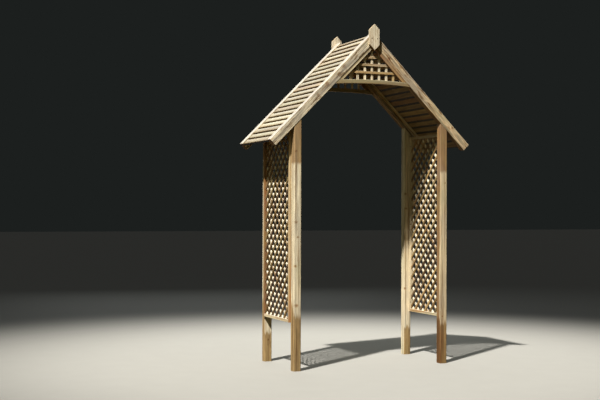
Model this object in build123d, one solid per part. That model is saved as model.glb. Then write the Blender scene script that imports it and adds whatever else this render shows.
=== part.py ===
from math import cos, radians, sin, sqrt, tan
import os

from build123d import *

# Wooden garden arch: four square posts, two pairs of rafters, a lapped board roof, a framed
# lattice between the posts of each side and an arched, latticed gable at both ends.
# Front is -Y, left is -X, the floor is z = 0 and the origin lies under the middle of the arch.

# Posts
post_size = 70.0
post_arris = 8.0
passage_width = 1376.0
side_opening = 630.0

# Rafters and ridge
ridge_height = 2988.0
roof_pitch = 45.0
rafter_depth = 74.0
rafter_thickness = 70.0
rafter_arris = 4.0
rafter_proud = 4.0
eave_overhang = 225.0

# Lapped roof boards and the cleats that carry their ends
board_cover = 70.0
board_lap = 14.0
board_butt = 20.0
board_tip = 5.0
board_set_down = 5.0
board_play = 0.3
underside_groove = 3.0
cleat_width = 20.0
cleat_depth = 20.0

# Finial boards
finial_width = 95.0
finial_thickness = 30.0
finial_above_ridge = 65.0
finial_height = 230.0

# Gable frames
gable_recess = 2.5
batten_width = 27.0
batten_thickness = 15.0
rail_height = 35.0
rail_thickness = 30.0
gable_height = 323.0
rail_rise = 11.0
gable_pitch_across = 71.0
gable_pitch_up = 67.5
gable_first_lath = 66.0

# Side panels
panel_foot = 418.0
panel_top_clearance = 3.0
frame_width = 25.0
frame_depth = 35.0
frame_outstand = 17.0
side_pitch = 66.7
side_first_crossing = 27.0

# Laths of every lattice
lath_width = 21.0
lath_thickness = 8.0

# Worked out from the sizes above
slope = radians(roof_pitch)
post_inner_x = passage_width / 2
post_outer_x = post_inner_x + post_size
post_inner_y = side_opening / 2
post_outer_y = post_inner_y + post_size
rafter_face_y = post_outer_y + rafter_proud
rafter_inner_y = rafter_face_y - rafter_thickness
eave_x = post_outer_x + eave_overhang
rafter_length = eave_x / cos(slope)
cleat_top = board_set_down + board_butt
ridge_underside = ridge_height - rafter_depth / cos(slope)
rail_crown_height = ridge_underside - gable_height
far = 2 * ridge_height

os.makedirs("parts", exist_ok=True)


def save(name, shape):
    export_step(shape, f"parts/{name}.step")


def roof_point(down, below):
    """Point of the right slope: `down` the slope from the ridge, `below` the rafters' tops."""
    x = down * cos(slope) - below * sin(slope)
    z = ridge_height - down * sin(slope) - below * cos(slope)
    return x, z


def underside_height(x):
    """Height of the rafters' lower faces at a distance from the middle."""
    return ridge_underside - abs(x) * tan(slope)


def outline(*points):
    return make_face(Polyline(*points, close=True))


def slab_y(face, y_from, y_to):
    """Push a face drawn in x and z out from one y to another."""
    return extrude(Plane.XZ.offset(-y_from) * face, amount=y_from - y_to)


def slab_x(face, x_from, x_to):
    """Push a face drawn in y and z out from one x to another."""
    return extrude(Plane.YZ.offset(x_from) * face, amount=x_to - x_from)


def mirrored(shape, left, rear):
    """The front right piece turned into its match at another corner."""
    if left:
        shape = mirror(shape, about=Plane.YZ)
    if rear:
        shape = mirror(shape, about=Plane.XZ)
    return shape


def save_at_corners(name, shape):
    """Save the front right piece and its matches at all four corners."""
    for end, rear in (("front", False), ("rear", True)):
        for side, left in (("left", True), ("right", False)):
            save(f"{name}_{end}_{side}", mirrored(shape, left, rear))


def post():
    """Square post with eased arrises, its top cut to the slope and set under the rafter."""
    column = Pos((post_inner_x + post_outer_x) / 2, -(post_inner_y + post_outer_y) / 2, 0) * Box(
        post_size, post_size, ridge_height, align=(Align.CENTER, Align.CENTER, Align.MIN))
    column = fillet(column.edges().filter_by(Axis.Z), post_arris)
    above = outline((0, ridge_underside), (far, underside_height(far)), (far, far), (0, far))
    return column - slab_y(above, -far, far)


def rafter():
    """Rafter with eased arrises: a plumb cut at the ridge and a square cut at the eave."""
    low, top = roof_point(rafter_length, rafter_depth), roof_point(rafter_length, 0)
    peak, heel = (0, ridge_height), (0, ridge_underside)
    bar = slab_y(outline(peak, top, low, heel), -rafter_face_y, -rafter_inner_y)
    along = Vector(cos(slope), 0, -sin(slope))
    return fillet(bar.edges().filter_by(Axis((0, 0, 0), along)), rafter_arris)


def cleat():
    """Batten on the rafter's inner face, on which the ends of the roof boards rest."""
    start = cleat_top * tan(slope)
    bottom = cleat_top + cleat_depth
    corners = (roof_point(start, cleat_top), roof_point(rafter_length, cleat_top),
               roof_point(rafter_length, bottom), roof_point(bottom * tan(slope), bottom))
    return slab_y(outline(*corners), -rafter_inner_y, -rafter_inner_y + cleat_width)


def board(index):
    """One tapered board, rebated under its thick edge to sit over the board below it."""
    butt = rafter_length - index * board_cover
    tip = butt - board_cover - board_lap
    taper = (board_butt - board_tip) / (board_cover + board_lap)
    rebate = board_tip + taper * board_lap + board_play if index else 0
    step = butt - board_lap - board_play
    if index:
        foot = [(butt, cleat_top - rebate), (step, cleat_top - rebate),
                (step, cleat_top - underside_groove), (step - underside_groove, cleat_top)]
    else:
        foot = [(butt, cleat_top)]
    section = [(butt, board_set_down), *foot, (tip + underside_groove, cleat_top),
               (tip, cleat_top - underside_groove), (tip, cleat_top - board_tip)]
    length = rafter_inner_y - board_play
    plank = slab_y(outline(*(roof_point(*corner) for corner in section)), -length, length)
    beyond_ridge = Pos(board_play / 2, 0, 0) * Box(
        far, far, 2 * far, align=(Align.MAX, Align.CENTER, Align.CENTER))
    return plank - beyond_ridge if roof_point(tip, cleat_top)[0] < board_lap else plank


def roof_boards():
    """All boards of the right slope, eave first, the last one cut plumb at the ridge."""
    count = 0
    while roof_point(rafter_length - count * board_cover, cleat_top)[0] > board_lap:
        count += 1
    return [board(index) for index in range(count)]


def finial():
    """Flat board pointed at both ends, fixed over the ridge joint of the rafters."""
    half, point = finial_width / 2, finial_width / 2
    top = ridge_height + finial_above_ridge
    foot = top - finial_height
    shape = outline((0, top), (half, top - point), (half, foot + point), (0, foot),
                    (-half, foot + point), (-half, top - point))
    return slab_y(shape, -rafter_face_y - finial_thickness, -rafter_face_y)


def rail_radius():
    """Radius of the rail's lower edge, which rises by rail_rise over its own span."""
    reach = gable_height / tan(slope)
    return (reach ** 2 + rail_rise ** 2) / (2 * rail_rise)


def disc(radius):
    """Large disc whose top lies at the crown of the arched rail's upper edge."""
    return Pos(0, rail_crown_height - rail_radius() - rail_height) * Circle(radius)


def gable_opening():
    """Triangle under the rafters' lower faces, down to well below the rail."""
    floor = rail_crown_height - rail_height - rail_rise * 2
    reach = (ridge_underside - floor) / tan(slope)
    return outline((0, ridge_underside), (reach, floor), (-reach, floor))


def above_rail():
    return gable_opening() - disc(rail_radius() + rail_height)


def gable_rail():
    """Arched rail between the rafters, cut at its ends to their lower faces."""
    band = disc(rail_radius() + rail_height) - disc(rail_radius())
    face = band & gable_opening()
    back = -rafter_face_y + gable_recess
    return slab_y(face, back, back + rail_thickness)


def gable_batten():
    """Batten under the right rafter, mitred at the ridge and standing on the rail."""
    drop = batten_width / cos(slope)
    strip = outline((0, ridge_underside), (far, underside_height(far)),
                    (far, underside_height(far) - drop), (0, ridge_underside - drop))
    back = -rafter_face_y + gable_recess
    return slab_y(strip & above_rail(), back, back + batten_thickness)


def cut_to(window, laths):
    pieces = [lath & window for lath in laths]
    return [piece for piece in pieces if piece and piece.faces()]


def crossed(laths, others):
    """The laths that some lath of the other layer crosses, so that they can be fixed to it."""
    overlaps = [[lath & other for other in others] for lath in laths]
    return [lath for lath, row in zip(laths, overlaps)
            if any(overlap and overlap.faces() for overlap in row)]


def lattice(first, second, window, push_out, start):
    """Two layers of laths, cut to a window and joined wherever they cross."""
    first, second = cut_to(window, first), cut_to(window, second)
    middle = start + lath_thickness
    front = push_out(Sketch() + crossed(first, second), start, middle)
    back = push_out(Sketch() + crossed(second, first), middle, middle + lath_thickness)
    return front + back


def gable_lattice():
    """Level laths on upright laths, fixed behind the battens and standing on the rail."""
    start = -rafter_face_y + gable_recess + batten_thickness
    rows = int((gable_height - gable_first_lath) / gable_pitch_up) + 1
    columns = int(gable_height / tan(slope) / gable_pitch_across)
    level = [Pos(0, rail_crown_height + gable_first_lath + row * gable_pitch_up) * Rectangle(
        far, lath_width) for row in range(rows)]
    upright = [Pos(column * gable_pitch_across, rail_crown_height) * Rectangle(lath_width, far)
               for column in range(-columns, columns + 1)]
    return lattice(level, upright, above_rail(), slab_y, start)


def panel_top():
    return underside_height(post_outer_x + frame_outstand) - panel_top_clearance


def side_stile():
    """Upright of the right panel's frame, against the rear face of the front post."""
    inner = post_outer_x + frame_outstand - frame_depth
    shape = Pos(-post_inner_y + frame_width / 2, (panel_foot + panel_top()) / 2) * Rectangle(
        frame_width, panel_top() - panel_foot)
    return slab_x(shape, inner, inner + frame_depth)


def side_rail(at_top):
    """Level member of the right panel's frame, between its stiles."""
    inner = post_outer_x + frame_outstand - frame_depth
    level = panel_top() - frame_width / 2 if at_top else panel_foot + frame_width / 2
    shape = Pos(0, level) * Rectangle(side_opening - 2 * frame_width, frame_width)
    return slab_x(shape, inner, inner + frame_depth)


def side_lattice(middle_x):
    """Diagonal laths in two crossing layers that fill the frame of one side panel."""
    width = side_opening - 2 * frame_width
    low, high = panel_foot + frame_width, panel_top() - frame_width
    window = Pos(0, (low + high) / 2) * Rectangle(width, high - low)
    diagonal = side_pitch * sqrt(2)
    crossing = low + side_first_crossing + diagonal * int((high - low) / 2 / diagonal)
    reach = (width + high - low) / sqrt(2)
    count = int(reach / 2 / side_pitch) + 1
    rising, falling = ([Pos(0, crossing) * Rot(0, 0, turn) * Pos(step * side_pitch, 0) * Rectangle(
        lath_width, 2 * reach) for step in range(-count, count + 1)] for turn in (45, -45))
    return lattice(rising, falling, window, slab_x, middle_x - lath_thickness)


save_at_corners("post", post())
save_at_corners("rafter", rafter())
save_at_corners("board_cleat", cleat())
save_at_corners("gable_batten", gable_batten())
save_at_corners("panel_stile", side_stile())

right_boards = roof_boards()
half = len(right_boards) // 2
groups = (("lower", right_boards[:half]), ("upper", right_boards[half:]))
for group, boards in groups:
    save(f"roof_boards_right_{group}", Compound(children=boards))
    left_boards = [mirror(piece, about=Plane.YZ) for piece in boards]
    save(f"roof_boards_left_{group}", Compound(children=left_boards))

for end, rear in (("front", False), ("rear", True)):
    save(f"finial_{end}", mirrored(finial(), False, rear))
    save(f"gable_rail_{end}", mirrored(gable_rail(), False, rear))
    save(f"gable_lattice_{end}", mirrored(gable_lattice(), False, rear))

lattice_x = post_outer_x + frame_outstand - frame_depth / 2
for side, sign in (("left", -1), ("right", 1)):
    save(f"side_lattice_{side}", side_lattice(sign * lattice_x))
    save(f"panel_foot_rail_{side}", mirrored(side_rail(False), sign < 0, False))
    save(f"panel_top_rail_{side}", mirrored(side_rail(True), sign < 0, False))
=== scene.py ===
from math import cos, pi, radians, sin, sqrt, tan
import random

import bpy
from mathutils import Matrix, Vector


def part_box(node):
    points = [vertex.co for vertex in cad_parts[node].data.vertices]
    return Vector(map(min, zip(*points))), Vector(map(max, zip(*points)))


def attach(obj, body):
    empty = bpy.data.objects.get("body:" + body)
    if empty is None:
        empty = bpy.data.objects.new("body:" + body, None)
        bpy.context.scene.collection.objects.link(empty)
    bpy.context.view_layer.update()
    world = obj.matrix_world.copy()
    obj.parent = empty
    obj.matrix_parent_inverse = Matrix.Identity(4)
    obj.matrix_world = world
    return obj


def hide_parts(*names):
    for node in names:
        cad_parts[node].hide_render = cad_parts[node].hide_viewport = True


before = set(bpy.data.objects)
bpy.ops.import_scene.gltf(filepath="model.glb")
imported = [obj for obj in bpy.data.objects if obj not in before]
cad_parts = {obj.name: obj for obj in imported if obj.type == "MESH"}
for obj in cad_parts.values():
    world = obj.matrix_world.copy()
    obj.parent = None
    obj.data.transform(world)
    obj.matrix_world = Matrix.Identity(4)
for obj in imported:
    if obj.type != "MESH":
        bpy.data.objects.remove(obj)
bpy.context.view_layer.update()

ENDS = {"front": -1, "rear": 1}
SIDES = {"left": -1, "right": 1}


# Studio: a pale floor with a painted pool of light round the arch, darkening away from it, a warm
# key light high at the front left, soft fills on each side and behind, and the camera at eye height
# more than ten metres away.

def colour(code):
    """Linear colour of a hex code in sRGB."""
    values = [int(code[i:i + 2], 16) / 255 for i in (0, 2, 4)]
    return [v / 12.92 if v <= 0.04045 else ((v + 0.055) / 1.055) ** 2.4 for v in values] + [1]


def add(tree, kind, links=(), out=0, **settings):
    """A node with its settings, its inputs set or linked; returns the socket that it gives."""
    node = tree.nodes.new(kind)
    for name, value in settings.items():
        setattr(node, name, value)
    for name, value in dict(links).items():
        if isinstance(value, bpy.types.NodeSocket):
            tree.links.new(value, node.inputs[name])
        else:
            node.inputs[name].default_value = value
    return node.outputs[out] if node.outputs else node


def linked(name, data):
    thing = bpy.data.objects.new(name, data)
    bpy.context.scene.collection.objects.link(thing)
    return thing


lens = bpy.data.cameras.new("camera")
lens.lens, lens.sensor_width, lens.sensor_fit = 68.49, 36, "HORIZONTAL"
camera = linked("camera", lens)
camera.location = (-4.5085, -9.5254, 1.4032)
camera.rotation_euler = [radians(turn) for turn in (90.4692, -0.1935, -22.6077)]
bpy.context.scene.camera = camera

key_from, key_strength, key_width = Vector((-0.498, -0.374, 0.782)), 7.0, radians(2)
key = bpy.data.lights.new("key", "SUN")
key.energy, key.angle, key.color = key_strength, key_width, colour("FFFCF6")[:3]
linked("key", key).rotation_euler = key_from.to_track_quat("Z", "Y").to_euler()

middle_of_arch = Vector((0, 0, 1.4))
for side, place, power, tint in (("left", (-7, -5, 4), 62, "F0F4D2"),
                                 ("right", (7, 6, 5), 170, "EEF2EC"),
                                 ("rear", (1.5, 9, 3.5), 320, "EEF2EC")):
    fill = bpy.data.lights.new(f"{side} fill", "AREA")
    fill.shape, fill.size, fill.size_y = "RECTANGLE", 6, 5
    fill.energy, fill.color = power, colour(tint)[:3]
    lamp = linked(f"{side} fill", fill)
    lamp.location, lamp.visible_camera = place, False
    lamp.rotation_euler = (Vector(place) - middle_of_arch).to_track_quat("Z", "Y").to_euler()

# Light from all round: a dim grey above, and warmer and brighter below, as from dry ground
backdrop = bpy.data.worlds.new("backdrop")
backdrop.use_nodes = True
sky = backdrop.node_tree
height = add(sky, "ShaderNodeSeparateXYZ", {0: add(sky, "ShaderNodeTexCoord")}).node.outputs["Z"]
above = add(sky, "ShaderNodeMapRange", {"Value": height, "From Min": -0.3, "From Max": -0.1})
sky.links.new(add(sky, "ShaderNodeMix", {0: above, 6: colour("50461F"), 7: colour("1C1F1E")},
                  out=2, data_type="RGBA"), sky.nodes["Background"].inputs["Color"])
bpy.context.scene.world = backdrop
bpy.context.scene.view_settings.view_transform = "Standard"

# Painted floor: matt, with a painted pool of light: pale round the arch and darker far away
floor_reach, pale_reach, dark_reach = 60, 1.6, 6.0
floor_mesh = bpy.data.meshes.new("floor")
floor_mesh.from_pydata([(x * floor_reach, y * floor_reach, 0) for x, y in (
    (-1, -1), (1, -1), (1, 1), (-1, 1))], [], [(0, 1, 2, 3)])
floor = linked("floor", floor_mesh)
paint = bpy.data.materials.new("matt pale floor paint")
paint.use_nodes = True
nodes = paint.node_tree
place = add(nodes, "ShaderNodeTexCoord", out="Object")
distance = add(nodes, "ShaderNodeVectorMath", {0: place}, out="Value", operation="LENGTH")
fade = add(nodes, "ShaderNodeMapRange", {"Value": distance, "From Min": pale_reach,
           "From Max": dark_reach}, interpolation_type="SMOOTHERSTEP")
mottle = add(nodes, "ShaderNodeTexNoise", {"Vector": place, "Scale": 5, "Detail": 4})
shade = add(nodes, "ShaderNodeMix", {0: fade, 6: colour("A3A19B"), 7: colour("161716")}, out=2,
            data_type="RGBA")
speck = add(nodes, "ShaderNodeMapRange", {"Value": mottle, "To Min": 0.97, "To Max": 1.03})
shade = add(nodes, "ShaderNodeMix", {0: 1, 6: shade, 7: speck}, out=2, data_type="RGBA",
            blend_type="MULTIPLY")
coat = nodes.nodes["Principled BSDF"]
nodes.links.new(shade, coat.inputs["Base Color"])
coat.inputs["Roughness"].default_value = 0.9
coat.inputs["Specular IOR Level"].default_value = 0.1
floor_mesh.materials.append(paint)
floor.visible_diffuse = False


# Posts: four 70 mm square softwood posts with rounded arrises, planed and pressure treated.
# Their tops are cut to the slope under the rafters, and their feet are damp and darker.

def treated_softwood(name, pale, line, brown, ring=0.017, knots=(), knotty=1.0, grey=0.3,
                     spread=0.16, bleach_and_highlight=0.75, mottle=0.1, veined=0.12, stained=0.15):
    """Planed softwood after pressure treatment: straw with darker growth rings, a faint green
    cast, brown knots and heartwood. What faces up is paler, from sun bleaching and painted
    highlight, and what faces down is darker and browner, from dirt and painted shade. Rings
    are 9 to 17 mm apart, three to five times the real spacing, so that they show from afar."""
    finish = bpy.data.materials.new(name)
    finish.use_nodes = True
    tree = finish.node_tree
    rgba, smooth = {"out": 2, "data_type": "RGBA"}, {"interpolation_type": "SMOOTHSTEP"}
    grain = add(tree, "ShaderNodeAttribute", out="Vector", attribute_name="grain")
    tone, warmth, cut_end, damp, shelter, stain_and_shade = (
        add(tree, "ShaderNodeAttribute", out="Fac", attribute_name=value)
        for value in ("tone", "warmth", "cut_end", "dryness", "shelter", "stain_and_shade"))

    # Knots: one per cell of a pattern 0.1 m across the grain and 0.5 m along it, and some placed
    cell = Vector((0.1, 0.1, 0.5))
    shrunk = add(tree, "ShaderNodeVectorMath", {0: grain, 1: [1 / c for c in cell]},
                 operation="MULTIPLY")
    cells = add(tree, "ShaderNodeTexVoronoi", {"Vector": shrunk, "Scale": 1}).node
    centre = add(tree, "ShaderNodeVectorMath", {0: cells.outputs["Position"], 1: cell},
                 operation="MULTIPLY")
    lump = add(tree, "ShaderNodeTexNoise", {"Vector": grain, "Scale": 70, "Detail": 2}, out=1)
    lump_size, flat = 0.014, (1, 1, 1.2)
    rough = add(tree, "ShaderNodeVectorMath", {0: lump, 1: [lump_size] * 3, 2: grain},
                operation="MULTIPLY_ADD")
    rough, centre = (add(tree, "ShaderNodeVectorMath", {0: v, 1: flat}, operation="MULTIPLY")
                     for v in (rough, centre))
    away = add(tree, "ShaderNodeVectorMath", {0: rough, 1: centre}, out="Value",
               operation="DISTANCE")
    size = add(tree, "ShaderNodeMapRange", {"Value": cells.outputs["Color"], "From Min": 0.4,
               "From Max": 1, "To Min": 0.0005, "To Max": 0.012 * knotty})
    near = add(tree, "ShaderNodeMath", {0: away, 1: size}, operation="DIVIDE")
    for spot in knots:
        away = add(tree, "ShaderNodeVectorMath", {0: rough, 1: [
            (v + lump_size / 2) * f for v, f in zip(spot, flat)]}, out="Value",
            operation="DISTANCE")
        away = add(tree, "ShaderNodeMath", {0: away, 1: spot[3]}, operation="DIVIDE")
        near = add(tree, "ShaderNodeMath", {0: near, 1: away}, operation="MINIMUM")

    # Growth rings round the pith, which wanders along the log and swings round each knot
    slow = add(tree, "ShaderNodeVectorMath", {0: grain, 1: (12, 12, 1.3)}, operation="MULTIPLY")
    wander = add(tree, "ShaderNodeTexNoise", {"Vector": slow, "Scale": 1, "Detail": 2}, out=1,
                 normalize=False)
    swung = add(tree, "ShaderNodeVectorMath", {0: wander, 1: (0.03, 0.03, 0), 2: grain},
                operation="MULTIPLY_ADD")
    swell = add(tree, "ShaderNodeMapRange", {0: near, 1: 0, 2: 4, 3: 1.3, 4: 1}, **smooth)
    swung = add(tree, "ShaderNodeVectorMath", {0: swung, "Scale": swell}, operation="SCALE")
    wave_period = 0.314
    rings = add(tree, "ShaderNodeTexWave", {"Vector": swung, "Scale": wave_period / ring,
                "Distortion": 1.2, "Detail": 2, "Detail Scale": 2}, out=1, wave_type="RINGS",
                rings_direction="Z", wave_profile="SAW")
    late = add(tree, "ShaderNodeMath", {0: rings, 1: 2.0}, operation="POWER")
    amount = add(tree, "ShaderNodeMath", {0: late, 1: 0.54}, operation="MULTIPLY")
    shade = add(tree, "ShaderNodeMix", {0: amount, 6: colour(pale), 7: colour(line)}, **rgba)

    # Along the grain: streaks 20 mm wide, veins 8 mm wide and fibres 3 mm wide; and blotches
    streak, vein, fibre, blotch, patch = (add(tree, "ShaderNodeTexNoise", {
        "Vector": add(tree, "ShaderNodeVectorMath", {0: grain, 1: (fine, fine, long)},
                      operation="MULTIPLY"), "Scale": 1, "Detail": detail})
        for fine, long, detail in ((48, 1.3, 4), (125, 5, 3), (330, 10, 3), (60, 9, 5),
                                   (5, 2.5, 4)))

    # Brown heartwood near the pith, in some of the streaks, and where a roof kept the sun off
    core = add(tree, "ShaderNodeVectorMath", {0: swung, 1: (1, 1, 0)}, operation="MULTIPLY")
    core = add(tree, "ShaderNodeVectorMath", {0: core}, out="Value", operation="LENGTH")
    shaded = add(tree, "ShaderNodeMath", {0: vein, 1: 0.02, 2: shelter}, operation="MULTIPLY_ADD")
    for value, low, high, most in ((core, 0.055, 0.03, 0.95), (streak, 0.52, 0.72, 0.75),
                                   (shaded, 1.0, 1.02, 0.85)):
        share = add(tree, "ShaderNodeMapRange", {0: value, 1: low, 2: high, 3: 0, 4: most},
                    **smooth)
        heart = share if value == core else add(tree, "ShaderNodeMath", {0: heart, 1: share},
                                                operation="MAXIMUM")
    shade = add(tree, "ShaderNodeMix", {0: heart, 6: shade, 7: colour(brown)}, **rgba)

    # Light and dark from streak to streak, and each timber paler or darker than the next
    for value, low, high, dark, light in ((streak, 0.7, 0.3, 0.8, 1.14),
                                          (vein, 0.35, 0.65, 1 - veined, 1 + veined),
                                          (blotch, 0.38, 0.62, 1 - mottle, 1 + mottle),
                                          (tone, 0, 1, 1 - spread, 1 + spread)):
        share = add(tree, "ShaderNodeMapRange", {0: value, 1: low, 2: high, 3: dark, 4: light},
                    **smooth)
        shade = add(tree, "ShaderNodeMix", {0: 1, 6: shade, 7: share}, blend_type="MULTIPLY",
                    **rgba)

    # Knots: red-brown inside a nearly black ring, in a halo of darker wood
    knot = add(tree, "ShaderNodeValToRGB", {"Fac": add(tree, "ShaderNodeMapRange", {
        "Value": near, "From Min": 0, "From Max": 3})})
    stops = knot.node.color_ramp.elements
    stops[0].color, stops[1].position, stops[1].color = colour("C09A78"), 1, (1, 1, 1, 1)
    for position, code in ((0.2, "B48C6A"), (0.3, "94745C"), (0.4, "CBAE90"), (0.6, "E9DECB")):
        stops.new(position).color = colour(code)
    shade = add(tree, "ShaderNodeMix", {0: 1, 6: shade, 7: knot}, blend_type="MULTIPLY", **rgba)

    # Redder or greener timbers; the green cast of the preservative and the grey that rain
    # leaves, with brown runs; paler faces turned to the sky, from bleaching and painted highlight,
    # and darker undersides, from dirt and painted shade; darker sawn ends; feet and edges that draw
    # up water, browner with a ragged limit; and water stains, with painted shade in corners,
    # grooves and seams
    way = add(tree, "ShaderNodeNewGeometry", out="Normal")
    upward = add(tree, "ShaderNodeSeparateXYZ", {0: way}).node.outputs["Z"]
    ragged = add(tree, "ShaderNodeMath", {0: streak, 1: 0.5, 2: damp}, operation="MULTIPLY_ADD")
    for value, low, high, most, blend, code in (
            (warmth, 0, 1, 1, "MULTIPLY", "D2B07A"), (warmth, 1, 2, 1, "MULTIPLY", "B6A968"),
            (warmth, 0, -1, 0.5, "MIX", "A59D7A"),
            (patch, 0.45, 0.7, 0.35, "MIX", "A7A27C"), (patch, 0.6, 0.35, grey, "MIX", "A39A8A"),
            (blotch, 0.5, 0.62, stained, "MULTIPLY", "937A5A"),
            # Faces turned up are paler: sun bleaching, and painted highlight
            (upward, 0.1, 0.85, 0.5 * bleach_and_highlight, "MIX", "F1EEE6"),
            # Faces turned down are darker and browner: dirt, and painted shade
            (upward, -0.15, -0.8, 0.9, "MULTIPLY", "CBA552"),
            (cut_end, 0, 1, 1, "MULTIPLY", "C9B79E"),
            (ragged, 1.32, 1.2, 0.85, "MULTIPLY", "AC905E"),
            # Water stains, and painted shade in corners, grooves and under the rafter
            (stain_and_shade, 0.2, 1, 0.7, "MULTIPLY", "A89A70"),
            (stain_and_shade, 1, 1.6, 0.95, "MULTIPLY", "3E2C16")):
        share = add(tree, "ShaderNodeMapRange", {0: value, 1: low, 2: high, 3: 0, 4: most},
                    **smooth)
        shade = add(tree, "ShaderNodeMix", {0: share, 6: shade, 7: colour(code)},
                    blend_type=blend, **rgba)

    surface = tree.nodes["Principled BSDF"]
    tree.links.new(shade, surface.inputs["Base Color"])
    surface.inputs["IOR"].default_value = 1.5
    surface.inputs["Specular IOR Level"].default_value = 0.3
    matt = add(tree, "ShaderNodeMapRange", {"Value": fibre, "To Min": 0.62, "To Max": 0.85})
    tree.links.new(matt, surface.inputs["Roughness"])

    # Raised late rings and fibres, under half a millimetre high
    height = add(tree, "ShaderNodeMath", {0: late, 1: 0.5, 2: fibre}, operation="MULTIPLY_ADD")
    relief = add(tree, "ShaderNodeBump", {"Height": height, "Strength": 0.5,
                 "Distance": 0.0005})
    tree.links.new(relief, surface.inputs["Normal"])
    return finish


def eased(corners, radii, steps=4):
    """A section's corners, each turned into an arc of its own radius."""
    points = []
    for i, corner in enumerate(corners):
        corner = Vector(corner)
        before = (Vector(corners[i - 1]) - corner).normalized()
        after = (Vector(corners[(i + 1) % len(corners)]) - corner).normalized()
        radius = radii[i] if isinstance(radii, (list, tuple)) else radii
        half = before.angle(after) / 2
        middle = corner + (before + after).normalized() * radius / sin(half)
        first = corner + before * radius / tan(half) - middle
        last = corner + after * radius / tan(half) - middle
        sweep = first.angle_signed(last, 0)
        for step in range(steps + 1):
            turn = -sweep * step / steps
            points.append(middle + Vector((first.x * cos(turn) - first.y * sin(turn),
                                           first.x * sin(turn) + first.y * cos(turn))))
    return points


def planed(width, depth, arris, inset=0):
    """Section of a planed timber, anticlockwise round its middle."""
    a, b, sharpest = width / 2 - inset, depth / 2 - inset, 0.0002
    return eased([(a, -b), (a, b), (-a, b), (-a, -b)], max(arris - inset, sharpest))


def loft(name, rings, grains, values=(), folds=None):
    """Closed mesh through like rings, with the grain's own coordinates on every point."""
    count, last = len(rings[0]), len(rings) - 1
    faces = [(r * count + i, r * count + (i + 1) % count, (r + 1) * count + (i + 1) % count,
              (r + 1) * count + i) for r in range(last) for i in range(count)]
    caps = [list(range(count))]
    if folds:
        caps = [list(range(folds[0], folds[1] + 1)),
                list(range(folds[1], count)) + list(range(folds[0] + 1))]
    ends = [cap[::-1] for cap in caps] + [[last * count + i for i in cap] for cap in caps]
    mesh = bpy.data.meshes.new(name)
    mesh.from_pydata([point for ring in rings for point in ring], [], faces + ends)
    mark = mesh.attributes.new("cut_end", "FLOAT", "FACE")
    mark.data.foreach_set("value", [0.0] * len(faces) + [1.0] * len(ends))
    way = mesh.attributes.new("grain", "FLOAT_VECTOR", "POINT")
    way.data.foreach_set("vector", [v for ring in grains for point in ring for v in point])
    for label, numbers in dict(values).items():
        mesh.attributes.new(label, "FLOAT", "POINT").data.foreach_set("value", numbers)
    return mesh


end_ease, log_spacing, dry = 0.0008, 4.0, 9.0


def timber(name, section, origin, along, up, first, last, log, tone=0.5, pith=None, warmth=0.0,
           damp=None, shelter_height=9, seam_shade=0.0, steps=16, pointed=False):
    """A planed length of timber, cut at each end by one plane or more. The log's number gives it
    a grain of its own, and pith is where the middle of the rings lies in its section. Damp is how
    high the foot is damp on most faces and on the left one. The sun never bleached the wood
    above shelter_height, and the seam value is painted shade along the upper edge."""
    width, depth, arris = section
    along, up, origin = Vector(along), Vector(up), Vector(origin)
    across = up.cross(along)
    draw = random.Random(log)
    pith = pith or (draw.uniform(-0.03, 0.03), draw.uniform(-0.03, 0.03))

    def ring(share, shift, inset):
        points, grains = [], []
        shape = planed(width, depth, arris, inset)
        if pointed:
            middle = len(shape) // 2
            shape = (shape[:middle] + [Vector((0, depth / 2 - inset))] + shape[middle:]
                     + [Vector((0, inset - depth / 2))])
        for a, b in shape:
            base = origin + across * a + up * b
            reach = [[(Vector(p) - base).dot(Vector(n)) / along.dot(Vector(n))
                      for p, n in planes] for planes in (first, last)]
            low, high = max(reach[0]), min(reach[1])
            s = low + (high - low) * share + shift
            points.append(base + along * s)
            grains.append((a - pith[0], b - pith[1], s + log * log_spacing))
        return points, grains

    stations = [(0, 0, end_ease)] + [(i / steps, end_ease * (1 - 2 * i / steps), 0)
                                     for i in range(steps + 1)] + [(1, 0, end_ease)]
    rings, grains = zip(*(ring(*station) for station in stations))
    shape = planed(width, depth, arris)
    on_left = [p.x < 1e-5 - width / 2 for p in shape]
    dryness = [point.z / damp[on_left[i]] if damp else dry
               for points in rings for i, point in enumerate(points)]
    shelter = [point.z / shelter_height for points in rings for point in points]
    # Painted shade along the upper edge of the section
    stain_and_shade, folds = [seam_shade * (p.y > 0) for p in shape], None
    if pointed:
        stain_and_shade += [0.0, 0.0]
        folds = (len(rings[0]) // 2 - 1, len(rings[0]) - 1)
    total = len(shelter)
    mesh = loft(name, rings, grains, {"tone": [tone] * total, "warmth": [warmth] * total,
                                     "dryness": dryness, "shelter": shelter,
                                     "stain_and_shade": stain_and_shade * len(rings)}, folds)
    return linked(name, mesh)


slope, ridge_height, rafter_depth = radians(45), 2.988, 0.074
ridge_underside = ridge_height - rafter_depth / cos(slope)


def slope_ways(side):
    """Down the roof slope of a side, and square out of it."""
    hand = SIDES[side]
    return Vector((hand * cos(slope), 0, -sin(slope))), Vector((hand * sin(slope), 0, cos(slope)))


# Each post's tone, pith, warmth, damp heights and shelter height
four_corners = [(end, side) for end in ENDS for side in SIDES]
post_width, post_arris = 0.070, 0.008
post_looks = {("front", "left"): (0.55, (0.03, 0.04), 0.0, (0.48, 0.56), 1.8),
              ("front", "right"): (0.5, (-0.04, 0.012), 0.4, (0.36, 0.4), 1.75),
              ("rear", "left"): (0.9, (0.04, 0.03), 0.0, (0.26, 0.55), 1.8),
              ("rear", "right"): (1.0, (0.03, 0.045), 0.0, (0.26, 0.001), 9)}
post_piths = [post_looks[corner][1] for corner in four_corners]

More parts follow.
